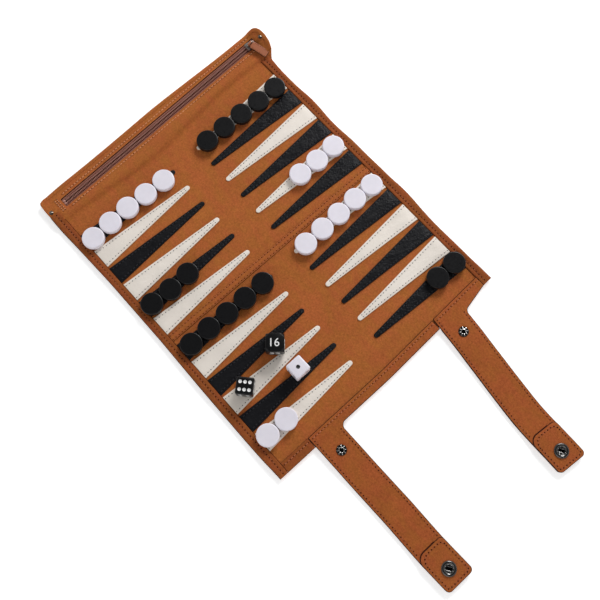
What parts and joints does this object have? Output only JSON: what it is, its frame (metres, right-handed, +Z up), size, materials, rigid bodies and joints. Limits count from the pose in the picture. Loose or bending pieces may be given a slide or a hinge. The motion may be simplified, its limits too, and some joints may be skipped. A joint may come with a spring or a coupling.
{
  "type": "roll-up backgammon set",
  "caption": "Suede roll-up backgammon mat laid flat, with a zipped pocket, two press-stud straps, checkers, two dice and a doubling cube in the starting layout.",
  "frame": {"origin": "on the table under the middle of the whole set, straps included", "axes": "+X from the zipped pocket to the straps, +Y across the mat, +Z up"},
  "size_m": [0.484, 0.2606, 0.0199],
  "materials": {
    "suede": "napped suede",
    "cream_leather": "smooth grain",
    "black_leather": "smooth grain",
    "pull_leather": "smooth",
    "zip_fabric": "woven tape",
    "zip_nylon": "moulded coil",
    "zip_metal": "polished",
    "snap_metal": "polished nickel",
    "rivet_metal": "polished nickel",
    "white_plastic": "smooth",
    "black_plastic": "smooth",
    "edge_lining": "plain"
  },
  "bodies": {
    "mat": {"outer_panel": "suede", "playing_panel": "suede", "side_bindings": "suede", "strap_end_binding": "suede", "cream_points": "cream_leather", "black_points": "black_leather", "centre_bar": "suede", "near_strap_root": "suede", "far_strap_root": "suede", "root_studs": "snap_metal"},
    "pocket": {"pocket_back": "suede", "pocket_edge": "edge_lining", "pocket_front": "suede", "zip_tapes": "zip_fabric", "zip_coils": "zip_nylon", "zip_stops": "zip_nylon", "pocket_rivets": "rivet_metal"},
    "slider": {"zip_slider": "zip_metal"},
    "pull": {"pull_tab": "pull_leather"},
    "near_inner_length": {"near_strap_inner": "suede"},
    "near_middle_length": {"near_strap_middle": "suede"},
    "near_tip_length": {"near_strap_tip": "suede", "near_snap_socket": "snap_metal"},
    "far_inner_length": {"far_strap_inner": "suede"},
    "far_middle_length": {"far_strap_middle": "suede"},
    "far_tip_length": {"far_strap_tip": "suede", "far_snap_socket": "snap_metal"},
    "white_checker_01_piece": {"white_checker_01": "white_plastic"},
    "white_checker_02_piece": {"white_checker_02": "white_plastic"},
    "white_checker_03_piece": {"white_checker_03": "white_plastic"},
    "white_checker_04_piece": {"white_checker_04": "white_plastic"},
    "white_checker_05_piece": {"white_checker_05": "white_plastic"},
    "white_checker_06_piece": {"white_checker_06": "white_plastic"},
    "white_checker_07_piece": {"white_checker_07": "white_plastic"},
    "white_checker_08_piece": {"white_checker_08": "white_plastic"},
    "white_checker_09_piece": {"white_checker_09": "white_plastic"},
    "white_checker_10_piece": {"white_checker_10": "white_plastic"},
    "white_checker_11_piece": {"white_checker_11": "white_plastic"},
    "white_checker_12_piece": {"white_checker_12": "white_plastic"},
    "white_checker_13_piece": {"white_checker_13": "white_plastic"},
    "white_checker_14_piece": {"white_checker_14": "white_plastic"},
    "white_checker_15_piece": {"white_checker_15": "white_plastic"},
    "black_checker_01_piece": {"black_checker_01": "black_plastic"},
    "black_checker_02_piece": {"black_checker_02": "black_plastic"},
    "black_checker_03_piece": {"black_checker_03": "black_plastic"},
    "black_checker_04_piece": {"black_checker_04": "black_plastic"},
    "black_checker_05_piece": {"black_checker_05": "black_plastic"},
    "black_checker_06_piece": {"black_checker_06": "black_plastic"},
    "black_checker_07_piece": {"black_checker_07": "black_plastic"},
    "black_checker_08_piece": {"black_checker_08": "black_plastic"},
    "black_checker_09_piece": {"black_checker_09": "black_plastic"},
    "black_checker_10_piece": {"black_checker_10": "black_plastic"},
    "black_checker_11_piece": {"black_checker_11": "black_plastic"},
    "black_checker_12_piece": {"black_checker_12": "black_plastic"},
    "black_checker_13_piece": {"black_checker_13": "black_plastic"},
    "black_checker_14_piece": {"black_checker_14": "black_plastic"},
    "black_checker_15_piece": {"black_checker_15": "black_plastic"},
    "white_die_piece": {"white_die": "white_plastic"},
    "black_die_piece": {"black_die": "black_plastic"},
    "doubling_cube_piece": {"doubling_cube": "black_plastic"}
  },
  "joints": [
    {"name": "near_strap_curl", "type": "hinge", "parent": "mat", "child": "near_inner_length", "pos_m": [0.1195, -0.07545, 0.0036], "axis": [0, -1, 0], "range_deg": [0, 85]},
    {"name": "near_strap_curl_middle", "type": "hinge", "parent": "near_inner_length", "child": "near_middle_length", "pos_m": [0.1595, -0.07545, 0.0036], "axis": [0, -1, 0], "range_deg": [0, 85]},
    {"name": "near_strap_curl_tip", "type": "hinge", "parent": "near_middle_length", "child": "near_tip_length", "pos_m": [0.1995, -0.07545, 0.0036], "axis": [0, -1, 0], "range_deg": [0, 85]},
    {"name": "far_strap_curl", "type": "hinge", "parent": "mat", "child": "far_inner_length", "pos_m": [0.11637, 0.06886, 0.0036], "axis": [-0.0854, -0.9963, 0], "range_deg": [0, 85]},
    {"name": "far_strap_curl_middle", "type": "hinge", "parent": "far_inner_length", "child": "far_middle_length", "pos_m": [0.15623, 0.06544, 0.0036], "axis": [-0.0854, -0.9963, 0], "range_deg": [0, 85]},
    {"name": "far_strap_curl_tip", "type": "hinge", "parent": "far_middle_length", "child": "far_tip_length", "pos_m": [0.19608, 0.06203, 0.0036], "axis": [-0.0854, -0.9963, 0], "range_deg": [0, 85]},
    {"name": "pocket_fold", "type": "hinge", "parent": "mat", "child": "pocket", "pos_m": [-0.211, -0.00375, 0.0042], "axis": [0, 1, 0], "range_deg": [0, 100]},
    {"name": "slider_travel", "type": "slide", "parent": "pocket", "child": "slider", "axis": [0.0279, -0.9996, 0], "range_m": [0, 0.2]},
    {"name": "pull_tab_flip", "type": "hinge", "parent": "slider", "child": "pull", "pos_m": [-0.23203, 0.11601, 0.0073], "axis": [0.0279, -0.9996, 0], "range_deg": [0, 170]},
    {"name": "take_off_white_checker_01", "type": "slide", "parent": "mat", "child": "white_checker_01_piece", "axis": [0, 0, 1], "range_m": [0, 0.04]},
    {"name": "take_off_white_checker_02", "type": "slide", "parent": "mat", "child": "white_checker_02_piece", "axis": [0, 0, 1], "range_m": [0, 0.04]},
    {"name": "take_off_white_checker_03", "type": "slide", "parent": "mat", "child": "white_checker_03_piece", "axis": [0, 0, 1], "range_m": [0, 0.04]},
    {"name": "take_off_white_checker_04", "type": "slide", "parent": "mat", "child": "white_checker_04_piece", "axis": [0, 0, 1], "range_m": [0, 0.04]},
    {"name": "take_off_white_checker_05", "type": "slide", "parent": "mat", "child": "white_checker_05_piece", "axis": [0, 0, 1], "range_m": [0, 0.04]},
    {"name": "take_off_white_checker_06", "type": "slide", "parent": "mat", "child": "white_checker_06_piece", "axis": [0, 0, 1], "range_m": [0, 0.04]},
    {"name": "take_off_white_checker_07", "type": "slide", "parent": "mat", "child": "white_checker_07_piece", "axis": [0, 0, 1], "range_m": [0, 0.04]},
    {"name": "take_off_white_checker_08", "type": "slide", "parent": "mat", "child": "white_checker_08_piece", "axis": [0, 0, 1], "range_m": [0, 0.04]},
    {"name": "take_off_white_checker_09", "type": "slide", "parent": "mat", "child": "white_checker_09_piece", "axis": [0, 0, 1], "range_m": [0, 0.04]},
    {"name": "take_off_white_checker_10", "type": "slide", "parent": "mat", "child": "white_checker_10_piece", "axis": [0, 0, 1], "range_m": [0, 0.04]},
    {"name": "take_off_white_checker_11", "type": "slide", "parent": "mat", "child": "white_checker_11_piece", "axis": [0, 0, 1], "range_m": [0, 0.04]},
    {"name": "take_off_white_checker_12", "type": "slide", "parent": "mat", "child": "white_checker_12_piece", "axis": [0, 0, 1], "range_m": [0, 0.04]},
    {"name": "take_off_white_checker_13", "type": "slide", "parent": "mat", "child": "white_checker_13_piece", "axis": [0, 0, 1], "range_m": [0, 0.04]},
    {"name": "take_off_white_checker_14", "type": "slide", "parent": "mat", "child": "white_checker_14_piece", "axis": [0, 0, 1], "range_m": [0, 0.04]},
    {"name": "take_off_white_checker_15", "type": "slide", "parent": "mat", "child": "white_checker_15_piece", "axis": [0, 0, 1], "range_m": [0, 0.04]},
    {"name": "take_off_black_checker_01", "type": "slide", "parent": "mat", "child": "black_checker_01_piece", "axis": [0, 0, 1], "range_m": [0, 0.04]},
    {"name": "take_off_black_checker_02", "type": "slide", "parent": "mat", "child": "black_checker_02_piece", "axis": [0, 0, 1], "range_m": [0, 0.04]},
    {"name": "take_off_black_checker_03", "type": "slide", "parent": "mat", "child": "black_checker_03_piece", "axis": [0, 0, 1], "range_m": [0, 0.04]},
    {"name": "take_off_black_checker_04", "type": "slide", "parent": "mat", "child": "black_checker_04_piece", "axis": [0, 0, 1], "range_m": [0, 0.04]},
    {"name": "take_off_black_checker_05", "type": "slide", "parent": "mat", "child": "black_checker_05_piece", "axis": [0, 0, 1], "range_m": [0, 0.04]},
    {"name": "take_off_black_checker_06", "type": "slide", "parent": "mat", "child": "black_checker_06_piece", "axis": [0, 0, 1], "range_m": [0, 0.04]},
    {"name": "take_off_black_checker_07", "type": "slide", "parent": "mat", "child": "black_checker_07_piece", "axis": [0, 0, 1], "range_m": [0, 0.04]},
    {"name": "take_off_black_checker_08", "type": "slide", "parent": "mat", "child": "black_checker_08_piece", "axis": [0, 0, 1], "range_m": [0, 0.04]},
    {"name": "take_off_black_checker_09", "type": "slide", "parent": "mat", "child": "black_checker_09_piece", "axis": [0, 0, 1], "range_m": [0, 0.04]},
    {"name": "take_off_black_checker_10", "type": "slide", "parent": "mat", "child": "black_checker_10_piece", "axis": [0, 0, 1], "range_m": [0, 0.04]},
    {"name": "take_off_black_checker_11", "type": "slide", "parent": "mat", "child": "black_checker_11_piece", "axis": [0, 0, 1], "range_m": [0, 0.04]},
    {"name": "take_off_black_checker_12", "type": "slide", "parent": "mat", "child": "black_checker_12_piece", "axis": [0, 0, 1], "range_m": [0, 0.04]},
    {"name": "take_off_black_checker_13", "type": "slide", "parent": "mat", "child": "black_checker_13_piece", "axis": [0, 0, 1], "range_m": [0, 0.04]},
    {"name": "take_off_black_checker_14", "type": "slide", "parent": "mat", "child": "black_checker_14_piece", "axis": [0, 0, 1], "range_m": [0, 0.04]},
    {"name": "take_off_black_checker_15", "type": "slide", "parent": "mat", "child": "black_checker_15_piece", "axis": [0, 0, 1], "range_m": [0, 0.04]},
    {"name": "take_off_white_die", "type": "slide", "parent": "mat", "child": "white_die_piece", "axis": [0, 0, 1], "range_m": [0, 0.04]},
    {"name": "take_off_black_die", "type": "slide", "parent": "mat", "child": "black_die_piece", "axis": [0, 0, 1], "range_m": [0, 0.04]},
    {"name": "take_off_doubling_cube", "type": "slide", "parent": "mat", "child": "doubling_cube_piece", "axis": [0, 0, 1], "range_m": [0, 0.04]}
  ],
  "couplings": [
    {"joint": "near_strap_curl_middle", "follows": "near_strap_curl", "ratio": 1},
    {"joint": "near_strap_curl_tip", "follows": "near_strap_curl", "ratio": 1},
    {"joint": "far_strap_curl_middle", "follows": "far_strap_curl", "ratio": 1},
    {"joint": "far_strap_curl_tip", "follows": "far_strap_curl", "ratio": 1}
  ]
}
